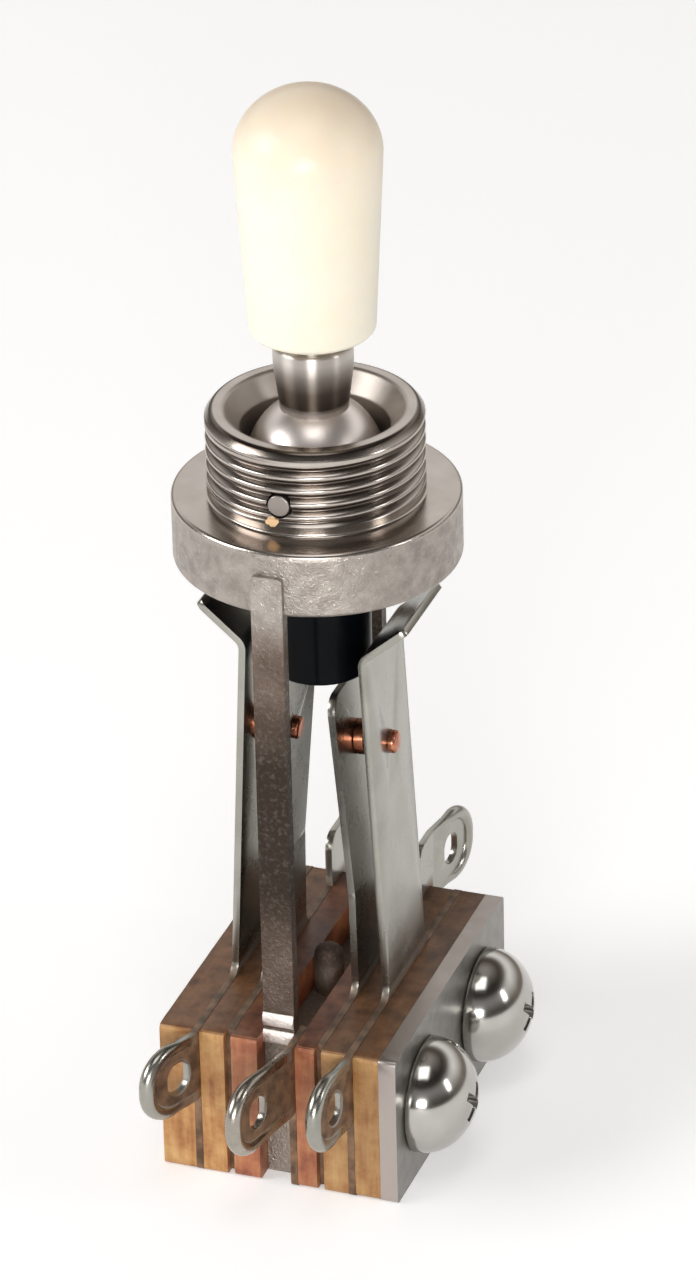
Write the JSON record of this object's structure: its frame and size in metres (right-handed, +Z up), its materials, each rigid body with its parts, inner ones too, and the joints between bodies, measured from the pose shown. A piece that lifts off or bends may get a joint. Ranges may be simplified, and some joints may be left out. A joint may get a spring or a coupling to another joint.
{
  "type": "guitar pickup selector switch",
  "caption": "Toggle selector switch with threaded bushing, tipped lever, sprung contact leaves and a clamped stack of insulators with solder lugs.",
  "frame": {"origin": "centre of the flange's top face, which seats under the panel", "axes": "+Z up the bushing, +X towards the screw heads and one throw of the lever, -Y towards the three front solder lugs"},
  "size_m": [0.0175, 0.0297, 0.0628],
  "materials": {
    "cast_nickel": "nickel-plated zinc casting, grainy",
    "turned_steel": "nickel-plated turned steel",
    "ivory_plastic": "glossy moulded ivory",
    "black_nylon": "black moulded nylon",
    "spring_sheet": "satin rolled nickel silver",
    "contact_copper": "copper rivet",
    "tinned_brass": "tinned sheet",
    "plated_steel": "nickel-plated steel",
    "phenolic": "sawn phenolic paper laminate",
    "fibre_tube": "insulating tube"
  },
  "bodies": {
    "frame": {"frame": "cast_nickel", "left_outer_leaf": "spring_sheet", "right_outer_leaf": "spring_sheet", "left_inner_leaf": "spring_sheet", "right_inner_leaf": "spring_sheet", "left_inner_contact": "contact_copper", "right_inner_contact": "contact_copper", "ground_lug": "tinned_brass", "left_outer_pad": "phenolic", "left_middle_pad": "phenolic", "left_inner_pad": "phenolic", "ground_pad": "phenolic", "right_middle_pad": "phenolic", "right_outer_pad": "phenolic", "clamp_plate": "plated_steel", "backing_plate": "plated_steel", "front_sleeve": "fibre_tube", "rear_sleeve": "fibre_tube", "front_screw": "plated_steel", "rear_screw": "plated_steel"},
    "pin": {"pivot_pin": "turned_steel"},
    "lever": {"lever": "turned_steel", "switch_tip": "ivory_plastic", "plunger": "black_nylon"},
    "left_contact": {"left_outer_contact": "contact_copper"},
    "right_contact": {"right_outer_contact": "contact_copper"}
  },
  "joints": [
    {"name": "throw_right", "type": "hinge", "parent": "frame", "child": "pin", "pos_m": [0, 0, 0.0018], "axis": [0, 1, 0], "range_deg": [0, 13]},
    {"name": "throw_left", "type": "hinge", "parent": "pin", "child": "lever", "pos_m": [0, 0, 0.0018], "axis": [0, 1, 0], "range_deg": [-13, 0]},
    {"name": "left_leaf_bend", "type": "hinge", "parent": "frame", "child": "left_contact", "pos_m": [-0.00417, 0, -0.023], "axis": [0, 1, 0], "range_deg": [-10.2, 0], "deforming": ["left_outer_leaf"]},
    {"name": "right_leaf_bend", "type": "hinge", "parent": "frame", "child": "right_contact", "pos_m": [0.00417, 0, -0.023], "axis": [0, 1, 0], "range_deg": [0, 10.2], "deforming": ["right_outer_leaf"]}
  ],
  "couplings": [
    {"joint": "left_leaf_bend", "follows": "throw_right", "ratio": -0.78},
    {"joint": "right_leaf_bend", "follows": "throw_left", "ratio": -0.78}
  ]
}
